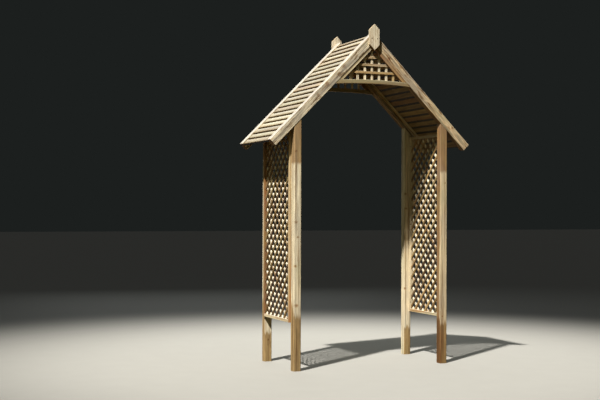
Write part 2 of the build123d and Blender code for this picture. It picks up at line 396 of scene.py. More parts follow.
# Knots on the front faces: log, distance from the post's middle, height and radius
post_knots = [(1, -0.017, 1.907, 0.006), (1, -0.017, 1.292, 0.007), (1, 0.002, 1.162, 0.005),
              (1, -0.022, 0.911, 0.007), (1, -0.012, 0.569, 0.009), (2, 0.013, 1.649, 0.005),
              (2, -0.013, 0.43, 0.006), (4, -0.024, 1.556, 0.007), (4, -0.02, 1.415, 0.006),
              (4, -0.028, 0.64, 0.007), (3, 0.0, 0.2, 0.006)]

# Smooth straw faces with brown lines and a soft sheen
post_finish = treated_softwood(
    "planed treated softwood, posts", "E0D2B2", "B49C76", "8A6129", mottle=0.14,
    knots=[(across - post_piths[log - 1][0], -post_width / 2 - post_piths[log - 1][1],
            height + log * log_spacing, radius) for log, across, height, radius in post_knots])
floor_plane = ((0, 0, 0), (0, 0, 1))
for log, (end, side) in enumerate(four_corners, start=1):
    low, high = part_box(f"post_{end}_{side}")
    roof_plane = ((0, 0, ridge_underside), slope_ways(side)[1])
    post = timber(f"{end}_{side}_post", (post_width, post_width, post_arris),
                  ((low[0] + high[0]) / 2, (low[1] + high[1]) / 2, 0), (0, 0, 1), (0, 1, 0),
                  [floor_plane], [roof_plane], log, *post_looks[end, side], steps=40)
    post.data.materials.append(post_finish)
    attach(post, "root")
    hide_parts(f"post_{end}_{side}")


# Rafters: two mitred pairs of planed softwood, 70 mm thick and 74 mm deep, joined at the ridge
# by the finials, screwed down into the posts and sawn square at the eaves.

rafter_thickness, rafter_arris, mitre_gap = 0.070, 0.004, 0.0004
rafter_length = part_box("rafter_rear_right")[1][0] / cos(slope)

# Each rafter's tone, pith and warmth
left_pith, right_pith = (0.0, 0.06), (0.03, 0.0)
rafter_looks = {("front", "left"): (0.85, left_pith, 0.0),
                ("front", "right"): (1.0, right_pith, 0.48),
                ("rear", "left"): (0.6, None, 0.0), ("rear", "right"): (0.4, None, 0.3)}

# Knots on the front faces: pith, log, how far across and up its section, how far down from the
# ridge, and radius
rafter_knots = [(left_pith, 11, 0.035, 0.008, 0.43, 0.012),
                (left_pith, 11, 0.035, 0.012, 0.66, 0.013),
                (left_pith, 11, 0.035, 0.0, 0.79, 0.010),
                (right_pith, 12, -0.035, -0.02, 0.275, 0.013),
                (right_pith, 12, -0.035, 0.02, 1.16, 0.007)]

# The most weathered: scratchy grey and brown faces, paler on top from bleaching and painted
# highlight
rafter_finish = treated_softwood(
    "weathered treated softwood, rafters", "D8CAAC", "8F7454", "7C5C42", grey=0.6, mottle=0.3,
    bleach_and_highlight=1.0, veined=0.45, stained=0.9,
    knots=[(across - pith[0], up - pith[1], down + log * log_spacing, radius)
           for pith, log, across, up, down, radius in rafter_knots])
for log, (end, side) in enumerate(four_corners, start=11):
    low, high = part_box(f"rafter_{end}_{side}")
    fall, out = slope_ways(side)
    top = Vector((0, (low[1] + high[1]) / 2, ridge_height))
    rafter = timber(f"{end}_{side}_rafter", (rafter_thickness, rafter_depth, rafter_arris),
                    top - out * rafter_depth / 2, fall, out,
                    [((SIDES[side] * mitre_gap, 0, 0), (1, 0, 0))],
                    [(top + fall * rafter_length, fall)], log, *rafter_looks[end, side], steps=30)
    rafter.data.materials.append(rafter_finish)
    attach(rafter, "root")
    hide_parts(f"rafter_{end}_{side}")


# Cleats: 20 mm square softwood battens nailed along the inner faces of the rafters, on which
# both ends of every roof board lie.

cleat_size, cleat_arris, cleat_top = 0.020, 0.0015, 0.025
for log, (end, side) in enumerate(four_corners, start=21):
    low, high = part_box(f"board_cleat_{end}_{side}")
    fall, out = slope_ways(side)
    top = Vector((0, (low[1] + high[1]) / 2, ridge_height))
    cleat = timber(f"{end}_{side}_cleat", (cleat_size, cleat_size, cleat_arris),
                   top - out * (cleat_top + cleat_size / 2), fall, out,
                   [((SIDES[side] * mitre_gap, 0, 0), (1, 0, 0))],
                   [(top + fall * rafter_length, fall)], log, 1.0, (0.06, 0.0))
    cleat.data.materials.append(post_finish)
    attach(cleat, "root")
    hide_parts(f"board_cleat_{end}_{side}")


# Roof boards: twenty tapered softwood boards on each slope, 20 mm thick at the lower edge and
# 5 mm at the upper, each rebated to lap 14 mm over the one below and nailed to the cleats.

def node_tree(name, inputs):
    """An empty Geometry Nodes tree with named inputs; returns it with the sockets they give."""
    tree = bpy.data.node_groups.new(name, "GeometryNodeTree")
    tree.interface.new_socket("Geometry", in_out="OUTPUT", socket_type="NodeSocketGeometry")
    for label, kind in {"Geometry": "Geometry", **inputs}.items():
        tree.interface.new_socket(label, in_out="INPUT", socket_type="NodeSocket" + kind)
    return tree, tree.nodes.new("NodeGroupInput").outputs


def grown(name, tree, values, start=None):
    """Runs a tree over a starting mesh and keeps the result as a plain mesh."""
    thing = linked(name, start or bpy.data.meshes.new(name))
    modifier = thing.modifiers.new(name, "NODES")
    modifier.node_group = tree
    for item in tree.interface.items_tree:
        if item.in_out == "INPUT" and item.name in values:
            modifier[item.identifier] = values[item.name]
    bpy.context.view_layer.update()
    result = thing.evaluated_get(bpy.context.evaluated_depsgraph_get())
    mesh = bpy.data.meshes.new_from_object(result)
    thing.modifiers.remove(modifier)
    thing.data = mesh
    return thing


board_cover, board_lap, board_butt, board_tip = 0.070, 0.014, 0.020, 0.005
board_sunk, board_play, board_groove, board_arris = 0.005, 0.0003, 0.003, 0.0022
board_crook, board_seeds = 0.0008, {"left": 23849, "right": 8}
board_taper = (board_butt - board_tip) / (board_cover + board_lap)
board_count = 0
while (rafter_length - board_count * board_cover) * cos(slope) - cleat_top * sin(slope) > board_lap:
    board_count += 1


def bare_board(name, rebate):
    """One board with its butt at the origin: x runs down the slope, y along the board."""
    half = -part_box("roof_boards_right_lower")[0][1]
    tip, step = -board_cover - board_lap, -board_lap - board_play
    corners = [(-board_sunk, 0), (rebate - cleat_top, 0)]
    if rebate:
        corners += [(rebate - cleat_top, step), (board_groove - cleat_top, step),
                    (-cleat_top, step - board_groove)]
    corners += [(-cleat_top, tip + board_groove), (board_groove - cleat_top, tip),
                (board_tip - cleat_top, tip)]
    section = eased(corners, [board_arris, 0.001] + [0.0003] * (len(corners) - 2), steps=3)

    # Water stains the lower edge; painted shade darkens the underside beside each groove, and the
    # top face just below the butt of the next board, in the corner where it laps over
    groove_shade = 3
    stains = [max(1 + p.y / board_cover, 0) if p.x > board_groove + 1e-4 - cleat_top
              else groove_shade for p in section]
    shade_reach, flat_run = 0.012, 0.02
    i = next(i for i, p in enumerate(section)
             if p.x < 1e-5 - cleat_top and p.y - section[i + 1].y > flat_run)
    section[i + 1:i + 1] = [Vector((-cleat_top, section[i].y - shade_reach)),
                            Vector((-cleat_top, section[i + 1].y + shade_reach))]
    stains[i + 1:i + 1] = [0, 0]
    # Painted shade on the top face just below the next board's butt
    for back, stain_and_shade in ((0.003, 1.4), (0.009, 0.2)):
        y = back - board_cover
        section.append(section[-1].lerp(section[0], (y - section[-1].y) / (
            section[0].y - section[-1].y)))
        stains.append(stain_and_shade)
    steps, wet_edge = 12, 0.012
    stations = [-half + 2 * half * i / steps for i in range(steps + 1)]
    rings = [[(p.y, y, p.x) for p in section] for y in stations]
    mesh = loft(name, rings, rings, {
        "dryness": [0.85 - p.y / wet_edge * 0.25 for p in section] * len(stations),
        "stain_and_shade": stains * len(stations)})
    return linked(name, mesh)


tree, given = node_tree("lapped boards down a slope", {
    "Lapped board": "Object", "Eave board": "Object", "Boards": "Int", "Cover": "Float",
    "Run": "Float", "Slope": "Float", "Ridge": "Float", "Side": "Float", "Play": "Float",
    "Wander": "Float", "Seed": "Int", "Finish": "Material"})
step = add(tree, "ShaderNodeMath", {0: given["Cover"], 1: -1}, operation="MULTIPLY")
points = add(tree, "GeometryNodeMeshLine", {
    "Count": given["Boards"], "Start Location": add(tree, "ShaderNodeCombineXYZ",
                                                    {"X": given["Run"]}),
    "Offset": add(tree, "ShaderNodeCombineXYZ", {"X": step})})
points = add(tree, "GeometryNodeStoreNamedAttribute", {
    "Geometry": points, "Name": "row", "Value": add(tree, "GeometryNodeInputIndex")},
    data_type="INT", domain="POINT")
kinds = tree.nodes.new("GeometryNodeJoinGeometry")
for board in ("Lapped board", "Eave board"):
    model = add(tree, "GeometryNodeObjectInfo", {"Object": given[board]}, out="Geometry")
    tree.links.new(add(tree, "GeometryNodeGeometryToInstance", {"Geometry": model}),
                   kinds.inputs["Geometry"])
row = add(tree, "GeometryNodeInputNamedAttribute", {"Name": "row"}, data_type="INT")
first = add(tree, "ShaderNodeMath", {0: row, 1: 0.5}, operation="GREATER_THAN")
boards = add(tree, "GeometryNodeInstanceOnPoints", {
    "Points": points, "Instance": kinds.outputs[0], "Pick Instance": True,
    "Instance Index": first})
boards = add(tree, "GeometryNodeRealizeInstances", {"Geometry": boards})

# Each board has its own shade and its own place in the log
spot = add(tree, "GeometryNodeInputPosition")
parts = add(tree, "ShaderNodeSeparateXYZ", {0: spot}).node.outputs
butt = add(tree, "ShaderNodeMath", {0: row, 1: step, 2: given["Run"]}, operation="MULTIPLY_ADD")
within = add(tree, "ShaderNodeMath", {0: parts["X"], 1: butt}, operation="SUBTRACT")
draw = add(tree, "FunctionNodeRandomValue", {0: (-0.03, 0.015, 0), 1: (0.11, 0.09, 60),
           "ID": row, "Seed": given["Seed"]}, data_type="FLOAT_VECTOR")
grain = add(tree, "ShaderNodeVectorMath", {0: add(tree, "ShaderNodeCombineXYZ", {
    "X": within, "Y": parts["Z"], "Z": parts["Y"]}), 1: draw}, operation="ADD")
tone = add(tree, "FunctionNodeRandomValue", {2: 0.0, 3: 1.0, "ID": row, "Seed": given["Seed"]},
           out=1, data_type="FLOAT")
warmth = add(tree, "FunctionNodeRandomValue", {2: -1.0, 3: 0.8, "ID": row, "Seed": add(
    tree, "ShaderNodeMath", {0: given["Seed"], 1: 40}, operation="ADD")}, out=1,
    data_type="FLOAT")
for label, value, kind in (("grain", grain, "FLOAT_VECTOR"), ("tone", tone, "FLOAT"),
                           ("warmth", warmth, "FLOAT")):
    boards = add(tree, "GeometryNodeStoreNamedAttribute", {
        "Geometry": boards, "Name": label, "Value": value}, data_type=kind, domain="POINT")

# Slight crook along each board, and the top one cut plumb at the ridge
drift = add(tree, "ShaderNodeVectorMath", {0: draw, 1: add(tree, "ShaderNodeCombineXYZ", {
    "Y": parts["Y"]})}, operation="ADD")
crook = add(tree, "ShaderNodeTexNoise", {"Vector": drift, "Scale": 2.5, "Detail": 1})
crook = add(tree, "ShaderNodeMapRange", {"Value": crook, "To Min": add(
    tree, "ShaderNodeMath", {0: given["Wander"], 1: -1}, operation="MULTIPLY"),
    "To Max": 0})
down = add(tree, "ShaderNodeMath", {0: parts["X"], 1: crook}, operation="ADD")
plumb = add(tree, "ShaderNodeMath", {0: add(tree, "ShaderNodeMath", {0: given["Slope"]},
            operation="TANGENT"), 1: add(tree, "ShaderNodeMath", {0: parts["Z"], 1: -1},
            operation="MULTIPLY"), 2: given["Play"]}, operation="MULTIPLY_ADD")
down = add(tree, "ShaderNodeMath", {0: down, 1: plumb}, operation="MAXIMUM")
lean = {name: add(tree, "ShaderNodeMath", {0: given["Slope"]}, operation=name)
        for name in ("COSINE", "SINE")}
shares = [add(tree, "ShaderNodeMath", {0: length, 1: lean[name]}, operation="MULTIPLY")
          for length, name in ((down, "COSINE"), (parts["Z"], "SINE"), (down, "SINE"),
                               (parts["Z"], "COSINE"))]
out_x = add(tree, "ShaderNodeMath", {0: shares[0], 1: shares[1]}, operation="ADD")
out_x = add(tree, "ShaderNodeMath", {0: out_x, 1: given["Side"]}, operation="MULTIPLY")
high = add(tree, "ShaderNodeMath", {0: given["Ridge"], 1: shares[2]}, operation="SUBTRACT")
high = add(tree, "ShaderNodeMath", {0: high, 1: shares[3]}, operation="ADD")
boards = add(tree, "GeometryNodeSetPosition", {"Geometry": boards, "Position": add(
    tree, "ShaderNodeCombineXYZ", {"X": out_x, "Y": parts["Y"], "Z": high})})
boards = add(tree, "GeometryNodeMergeByDistance", {"Geometry": boards, "Distance": 1e-6})
boards = add(tree, "GeometryNodeFlipFaces", {"Mesh": boards, "Selection": add(
    tree, "ShaderNodeMath", {0: given["Side"], 1: 0}, operation="LESS_THAN")})
boards = add(tree, "GeometryNodeSetMaterial", {"Geometry": boards, "Material": given["Finish"]})
add(tree, "NodeGroupOutput", {"Geometry": boards})

# Sawn faces that the rain has greyed, each board another shade, brown along its lower edge
board_finish = treated_softwood("sawn treated softwood, boards", "BFB9A2", "87744F", "957A52",
                                ring=0.013, knotty=0.8, grey=0.4, spread=0.32, bleach_and_highlight=0.5,
                                mottle=0.1, stained=0.45)
lapped_board = bare_board("lapped board", board_tip + board_taper * board_lap + board_play)
eave_board = bare_board("eave board", 0)
for side in SIDES:
    roof = grown(f"{side}_roof_boards", tree, {
        "Lapped board": lapped_board, "Eave board": eave_board, "Boards": board_count,
        "Cover": board_cover, "Run": rafter_length, "Slope": slope, "Ridge": ridge_height,
        "Side": float(SIDES[side]), "Play": mitre_gap, "Wander": board_crook,
        "Seed": board_seeds[side], "Finish": board_finish})
    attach(roof, "root")
    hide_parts(f"roof_boards_{side}_lower", f"roof_boards_{side}_upper")
for board in (lapped_board, eave_board):
    bpy.data.objects.remove(board)


# Finials: a flat softwood board at each end, pointed top and bottom, that covers the ridge joint
# and is held by two screws through its face.

finial_width, finial_arris, screw_proud = 0.095, 0.0025, 0.0004

# Pale faces with grey patches and a few brown runs
finial_finish = treated_softwood("planed treated softwood, finials", "DFD2B8", "B59C7C",
                                 "B09370", grey=0.6, stained=0.5)
for log, end in enumerate(ENDS, start=31):
    low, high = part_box(f"finial_{end}")
    thickness = high[1] - low[1] - screw_proud
    finial = timber(f"{end}_finial", (finial_width, thickness, finial_arris),
                    (0, (low[1] + high[1] - ENDS[end] * screw_proud) / 2, 0), (0, 0, 1), (0, 1, 0),
                    [((0, 0, low[2]), (turn, 0, -1)) for turn in (-1, 1)],
                    [((0, 0, high[2]), (turn, 0, 1)) for turn in (-1, 1)], log, 0.8,
                    (0.05, 0.07), steps=4, pointed=True)
    finial.data.materials.append(finial_finish)
    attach(finial, "root")
    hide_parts(f"finial_{end}")


# Gable rails: one band-sawn softwood rail between each pair of rafters, 30 mm thick, arched by
# 11 mm over its span with the grain running straight through.

rail_height, rail_thickness, rail_rise, rail_arris = 0.035, 0.030, 0.011, 0.003
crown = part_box("gable_rail_front")[1][2]
gable_height = ridge_underside - crown
rail_radius = (gable_height ** 2 + rail_rise ** 2) / (2 * rail_rise)
rail_centre = crown - rail_radius - rail_height
rail_steps, pith_behind, pith_below = 10, 0.02, 0.05

# A little darker and yellower than the posts, with few knots
joinery_finish = treated_softwood("planed treated softwood, frames", "D3C3A2", "A58B62",
                                  "A9763C", knotty=0.6)
for log, end in enumerate(ENDS, start=41):
    low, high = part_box(f"gable_rail_{end}")
    middle_y = (low[1] + high[1]) / 2
    stations = [(i / rail_steps, -end_ease * i / rail_steps, 0)
                for i in range(-rail_steps, rail_steps + 1)]
    rings, grains = [], []
    for share, shift, inset in [(-1, 0, end_ease)] + stations + [(1, 0, end_ease)]:
        ring = []
        for a, b in planed(rail_thickness, rail_height, rail_arris, inset):
            radius = rail_radius + rail_height / 2 + b
            rise = ridge_underside - rail_centre
            reach = (rise - sqrt(2 * radius ** 2 - rise ** 2)) / 2
            x = share * reach + shift
            ring.append((x, middle_y + a, rail_centre + sqrt(radius ** 2 - x ** 2)))
        rings.append(ring)
        grains.append([(y - middle_y - pith_behind, z - crown + pith_below, x + log * log_spacing)
                       for x, y, z in ring])
    total = len(rings) * len(rings[0])
    rail = linked(f"{end}_gable_rail", loft(f"{end}_gable_rail", rings, grains, {
        "tone": [0.0] * total, "warmth": [-0.9] * total, "dryness": [dry] * total,
        "stain_and_shade": [0.62] * total}))
    rail.data.materials.append(joinery_finish)
    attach(rail, "root")
    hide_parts(f"gable_rail_{end}")


# Gable battens: thin softwood battens nailed under the rafters, mitred at the ridge and cut to
# stand on the arched rail; they hold the edges of the gable lattice.

batten_width, batten_arris = 0.027, 0.0015
# The left batten's upper edge is darkened as painted shade, where the rafter above shades it
batten_looks = {"left": {"tone": 0.8, "pith": (0.06, 0.03), "seam_shade": 1.7},
                "right": {"tone": 0.3, "warmth": 1.0}}
meeting = gable_height - batten_width / cos(slope) / 2
for log, (end, side) in enumerate(four_corners, start=51):
    low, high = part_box(f"gable_batten_{end}_{side}")
    fall, out = slope_ways(side)
    top = Vector((0, (low[1] + high[1]) / 2, ridge_underside))
    foot_x = SIDES[side] * meeting
    outer = rail_radius + rail_height
    foot_z = rail_centre + sqrt(outer ** 2 - foot_x ** 2)
    batten = timber(f"{end}_{side}_gable_batten", (high[1] - low[1], batten_width, batten_arris),
                    top - out * batten_width / 2, fall, out,
                    [((SIDES[side] * mitre_gap, 0, 0), (1, 0, 0))],
                    [((foot_x, 0, foot_z), (foot_x / outer, 0, 1))], log,
                    **batten_looks[side])
    batten.data.materials.append(joinery_finish)
    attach(batten, "root")
    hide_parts(f"gable_batten_{end}_{side}")


# Gable lattices: sawn softwood laths 21 mm wide and 8 mm thick in two layers, the level ones
# outside and the upright ones behind, stapled together and cut to the rafters and the rail.

lath_width, lath_thickness, lath_arris = 0.021, 0.008, 0.001


def bare_lath():
    """A lath one metre long that runs along x from the origin."""
    section = planed(lath_width, lath_thickness, lath_arris)[::2]
    rings = [[(x, p.x, p.y) for p in section] for x in (0.0, 1.0)]
    return linked("bare lath", loft("bare lath", rings, rings,
                                    {"dryness": [dry] * 2 * len(section)}))


tree, given = node_tree("laths cut to an opening", {
    "Lath": "Object", "Laths": "Int", "Pitch": "Float", "First": "Float", "Turn": "Float",
    "Half width": "Float", "Bottom": "Float", "Top": "Float", "Fall": "Float",
    "Crown": "Float", "Layer": "Float", "Shortest": "Float", "Origin": "Vector",
    "Across": "Vector", "Slack": "Float", "Palest": "Float", "Seed": "Int",
    "Finish": "Material"})
lean = {name: add(tree, "ShaderNodeMath", {0: given["Turn"]}, operation=name)
        for name in ("COSINE", "SINE")}
offset = add(tree, "GeometryNodeInputNamedAttribute", {"Name": "offset"}, data_type="FLOAT")
number = add(tree, "GeometryNodeInputNamedAttribute", {"Name": "number"}, data_type="INT")

# Where a lath's line enters and leaves the opening: sides, roof slopes and arched foot
opposite_fall = add(tree, "ShaderNodeMath", {0: given["Fall"], 1: -1}, operation="MULTIPLY")
sideways = add(tree, "ShaderNodeMath", {0: offset, 1: lean["COSINE"]}, operation="MULTIPLY")
bow = add(tree, "ShaderNodeMath", {0: sideways, 1: sideways}, operation="MULTIPLY")
foot = add(tree, "ShaderNodeMath", {0: bow, 1: given["Crown"]}, operation="MULTIPLY")
foot = add(tree, "ShaderNodeMath", {0: foot, 1: given["Bottom"]}, operation="SUBTRACT")
enters, leaves = [], []
for across, upward, limit in ((1, 0, given["Half width"]), (-1, 0, given["Half width"]),
                              (given["Fall"], 1, given["Top"]),
                              (opposite_fall, 1, given["Top"]), (0, -1, foot)):
    pace = add(tree, "ShaderNodeMath", {0: lean["SINE"], 1: across}, operation="MULTIPLY")
    pace = add(tree, "ShaderNodeMath", {0: add(tree, "ShaderNodeMath", {
        0: lean["COSINE"], 1: upward}, operation="MULTIPLY"), 1: pace}, operation="SUBTRACT")
    start = add(tree, "ShaderNodeMath", {0: lean["COSINE"], 1: across}, operation="MULTIPLY")
    start = add(tree, "ShaderNodeMath", {0: lean["SINE"], 1: upward, 2: start},
                operation="MULTIPLY_ADD")
    start = add(tree, "ShaderNodeMath", {0: start, 1: offset}, operation="MULTIPLY")
    room = add(tree, "ShaderNodeMath", {0: limit, 1: start}, operation="SUBTRACT")
    cut = add(tree, "ShaderNodeMath", {0: room, 1: pace}, operation="DIVIDE")
    for sign, test, found in ((-1, "LESS_THAN", enters), (1, "GREATER_THAN", leaves)):
        meets = add(tree, "ShaderNodeMath", {0: pace, 1: sign * 1e-4}, operation=test)
        found.append(add(tree, "ShaderNodeMix", {0: meets, 2: sign * 9.0, 3: cut}))
for found, pick in ((enters, "MAXIMUM"), (leaves, "MINIMUM")):
    while len(found) > 1:
        found.insert(0, add(tree, "ShaderNodeMath", {0: found.pop(0), 1: found.pop(0)},
                            operation=pick))
enter, length = enters[0], add(tree, "ShaderNodeMath", {0: leaves[0], 1: enters[0]},
                               operation="SUBTRACT")

# One point per lath that crosses the opening, then the laths themselves
points = add(tree, "GeometryNodeMeshLine", {"Count": given["Laths"], "Offset": (0, 0, 0)})
index = add(tree, "GeometryNodeInputIndex")
points = add(tree, "GeometryNodeStoreNamedAttribute", {
    "Geometry": points, "Name": "number", "Value": index}, data_type="INT", domain="POINT")
slack = add(tree, "FunctionNodeRandomValue", {2: -1.0, 3: 1.0, "ID": number,
            "Seed": given["Seed"]}, out=1, data_type="FLOAT")
place = add(tree, "ShaderNodeMath", {0: index, 1: given["Pitch"], 2: given["First"]},
            operation="MULTIPLY_ADD")
place = add(tree, "ShaderNodeMath", {0: slack, 1: given["Slack"], 2: place},
            operation="MULTIPLY_ADD")
points = add(tree, "GeometryNodeStoreNamedAttribute", {
    "Geometry": points, "Name": "offset", "Value": place}, data_type="FLOAT", domain="POINT")
points = add(tree, "GeometryNodeDeleteGeometry", {"Geometry": points, "Selection": add(
    tree, "ShaderNodeMath", {0: length, 1: given["Shortest"]}, operation="LESS_THAN")})
model = add(tree, "GeometryNodeObjectInfo", {"Object": given["Lath"]}, out="Geometry")
laths = add(tree, "GeometryNodeInstanceOnPoints", {"Points": points, "Instance": model})
laths = add(tree, "GeometryNodeRealizeInstances", {"Geometry": laths})
parts = add(tree, "ShaderNodeSeparateXYZ", {
    0: add(tree, "GeometryNodeInputPosition")}).node.outputs
laths = add(tree, "GeometryNodeStoreNamedAttribute", {
    "Geometry": laths, "Name": "offset", "Value": add(
        tree, "ShaderNodeMath", {0: offset, 1: parts["Y"]}, operation="ADD")},
    data_type="FLOAT", domain="POINT")
run = add(tree, "ShaderNodeMath", {0: parts["X"], 1: length, 2: enter},
          operation="MULTIPLY_ADD")
draw = add(tree, "FunctionNodeRandomValue", {0: (-0.08, -0.08, 0), 1: (0.08, 0.08, 90),
           "ID": number, "Seed": given["Seed"]}, data_type="FLOAT_VECTOR")
grain = add(tree, "ShaderNodeVectorMath", {0: add(tree, "ShaderNodeCombineXYZ", {
    "X": parts["Y"], "Y": parts["Z"], "Z": run}), 1: draw}, operation="ADD")
tone = add(tree, "FunctionNodeRandomValue", {2: add(tree, "ShaderNodeMath", {
    0: given["Palest"], 1: -0.3}, operation="ADD"), 3: given["Palest"], "ID": number,
    "Seed": given["Seed"]}, out=1, data_type="FLOAT")
warmth = add(tree, "ShaderNodeMapRange", {"Value": tone, "From Max": 0.7, "To Min": 2.0,
             "To Max": -0.1}, interpolation_type="SMOOTHSTEP")
for label, value, kind in (("grain", grain, "FLOAT_VECTOR"), ("tone", tone, "FLOAT"),
                           ("warmth", warmth, "FLOAT")):
    laths = add(tree, "GeometryNodeStoreNamedAttribute", {
        "Geometry": laths, "Name": label, "Value": value}, data_type=kind, domain="POINT")
back = add(tree, "ShaderNodeMath", {0: run, 1: lean["SINE"]}, operation="MULTIPLY")
level = add(tree, "ShaderNodeMath", {0: add(tree, "ShaderNodeMath", {
    0: offset, 1: lean["COSINE"]}, operation="MULTIPLY"), 1: back}, operation="SUBTRACT")
height = add(tree, "ShaderNodeMath", {0: run, 1: lean["COSINE"], 2: add(
    tree, "ShaderNodeMath", {0: offset, 1: lean["SINE"]}, operation="MULTIPLY")},
    operation="MULTIPLY_ADD")
deep = add(tree, "ShaderNodeMath", {0: parts["Z"], 1: given["Layer"]}, operation="ADD")
inward = add(tree, "ShaderNodeVectorMath", {0: (0, 0, 1), 1: given["Across"]},
             operation="CROSS_PRODUCT")
spot = add(tree, "ShaderNodeVectorMath", {0: given["Across"], 1: level, 2: given["Origin"]},
           operation="MULTIPLY_ADD")
spot = add(tree, "ShaderNodeVectorMath", {0: inward, 1: deep, 2: spot},
           operation="MULTIPLY_ADD")
spot = add(tree, "ShaderNodeVectorMath", {0: spot, 1: add(
    tree, "ShaderNodeCombineXYZ", {"Z": height})}, operation="ADD")
laths = add(tree, "GeometryNodeSetPosition", {"Geometry": laths, "Position": spot})
laths = add(tree, "GeometryNodeSetMaterial", {"Geometry": laths, "Material": given["Finish"]})
add(tree, "NodeGroupOutput", {"Geometry": laths})
lath_tree = tree


def lattice(name, layers, **values):
    """Both layers of a lattice as one mesh."""
    made = [grown(name, lath_tree, {**values, **layer}) for layer in layers]
    with bpy.context.temp_override(active_object=made[0], selected_editable_objects=made):
        bpy.ops.object.join()
    return made[0]


lath = bare_lath()

# Pale sawn faces, nearly white on the palest laths and brown on the darkest
lath_finish = treated_softwood("sawn treated softwood, laths", "E8DDC2", "BAA47E", "9C7C50",
                               ring=0.009, knotty=0.5, grey=0.2, spread=0.34, bleach_and_highlight=1.0)
gable_pitch_across, gable_pitch_up, gable_first_lath, gable_rows = 0.071, 0.0675, 0.066, 5
shortest_lath, gable_slack = 0.03, 0.0008
columns = int(gable_height / tan(slope) / gable_pitch_across)
for seed, end in enumerate(ENDS, start=1):
    low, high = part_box(f"gable_lattice_{end}")
    layer = ENDS[end] * lath_thickness / 2
    level = {"Turn": pi / 2, "Laths": gable_rows, "Pitch": gable_pitch_up,
             "First": gable_first_lath, "Layer": layer, "Palest": 0.5, "Seed": seed * 10}
    upright = {"Turn": 0.0, "Laths": 2 * columns + 1, "Pitch": gable_pitch_across,
               "First": -columns * gable_pitch_across, "Layer": -layer, "Palest": 0.65,
               "Seed": seed * 10 + 1}
    gable = lattice(f"{end}_gable_lattice", (level, upright), **{
        "Lath": lath, "Half width": 1.0, "Bottom": 0.0, "Top": gable_height, "Fall": tan(slope),
        "Crown": 1 / (2 * (rail_radius + rail_height)), "Shortest": shortest_lath,
        "Slack": gable_slack, "Origin": (0.0, (low[1] + high[1]) / 2, crown),
        "Across": (1.0, 0.0, 0.0), "Finish": lath_finish})
    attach(gable, "root")
    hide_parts(f"gable_lattice_{end}")


# Side panels: a frame of 35 x 25 mm softwood between each pair of posts, screwed through its
# stiles, filled with diagonal laths in two layers that cross every 67 mm.

frame_arris, side_pitch, side_first_crossing, side_slack = 0.002, 0.0667, 0.027, 0.001
stile_looks = {("front", "left"): (0.7, (0.018, -0.046), 0.5),
               ("rear", "left"): (0.1, (-0.005, -0.035), 1.2),
               ("front", "right"): (0.6, (0.06, 0.04)), ("rear", "right"): (0.6, (0.06, 0.04))}

# How pale a lath can be, on the left face of each panel and on the right face of both; the left
# layers are kept darker and browner as painted shade
left_face_palest, right_face_palest = {"left": 0.15, "right": 0.35}, 1.0
log = 60
for side in SIDES:
    for end in ENDS:
        log += 1
        low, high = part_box(f"panel_stile_{end}_{side}")
        stile = timber(f"{end}_{side}_stile", (high[0] - low[0], high[1] - low[1], frame_arris),
                       ((low[0] + high[0]) / 2, (low[1] + high[1]) / 2, 0), (0, 0, 1),
                       (0, 1, 0), [(low, (0, 0, 1))], [(high, (0, 0, 1))], log,
                       *stile_looks[end, side])
        stile.data.materials.append(joinery_finish)
        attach(stile, "root")
        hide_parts(f"panel_stile_{end}_{side}")
    # The top rails under the roof are made darker: painted shade
    for level, tone in (("foot", 0.5), ("top", 0.1)):
        log += 1
        low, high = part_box(f"panel_{level}_rail_{side}")
        rail = timber(f"{side}_{level}_rail", (high[0] - low[0], high[2] - low[2], frame_arris),
                      ((low[0] + high[0]) / 2, 0, (low[2] + high[2]) / 2), (0, 1, 0),
                      (0, 0, 1), [(low, (0, 1, 0))], [(high, (0, 1, 0))], log, tone, (0.05, 0.04))
        rail.data.materials.append(joinery_finish)
        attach(rail, "root")
        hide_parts(f"panel_{level}_rail_{side}")
    bottom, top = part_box(f"panel_foot_rail_{side}")[1][2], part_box(f"panel_top_rail_{side}")[0][2]
    low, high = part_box(f"side_lattice_{side}")
    diagonal = side_pitch * sqrt(2)
    crossing = bottom + side_first_crossing + diagonal * int((top - bottom) / 2 / diagonal)
    count = int((high[1] - low[1] + top - bottom) / sqrt(2) / 2 / side_pitch) + 1
    layers = [{"Turn": turn * pi / 4, "Layer": turn * lath_thickness / 2,
               # The left layers are the darker ones: painted shade
               "Palest": left_face_palest[side] if turn == 1 else right_face_palest,
               "Seed": 100 + 10 * SIDES[side] + turn} for turn in (1, -1)]
    panel = lattice(f"{side}_side_lattice", layers, **{
        "Lath": lath, "Laths": 2 * count + 1, "Pitch": side_pitch, "First": -count * side_pitch,
        "Half width": (high[1] - low[1]) / 2, "Bottom": bottom - crossing,
        "Top": top - crossing, "Fall": 0.0, "Crown": 0.0, "Shortest": lath_width * 1.5,
        "Slack": side_slack, "Origin": ((low[0] + high[0]) / 2, 0.0, crossing),
        "Across": (0.0, 1.0, 0.0), "Finish": lath_finish})
    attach(panel, "root")
    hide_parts(f"side_lattice_{side}")
bpy.data.objects.remove(lath)


# Fixings: brown-coated countersunk screws with a six-lobe recess through the finials and stiles
# and down through the rafters, their dark colour partly painted shade of the countersinks,
# galvanised nails in the boards, cleats and gable battens, and wire staples where laths cross.
# Each stands a little proud of the wood.

def lathe(name, profile, count):
    """A closed shape turned about z; each ring is a radius, a height and a depth of lobe."""
    turns = [2 * pi * i / count for i in range(count)]
    rings = [[((radius + lobe * cos(6 * t)) * cos(t), (radius + lobe * cos(6 * t)) * sin(t), high)
              for t in turns] for radius, high, lobe in profile]
    return linked(name, loft(name, rings, rings))


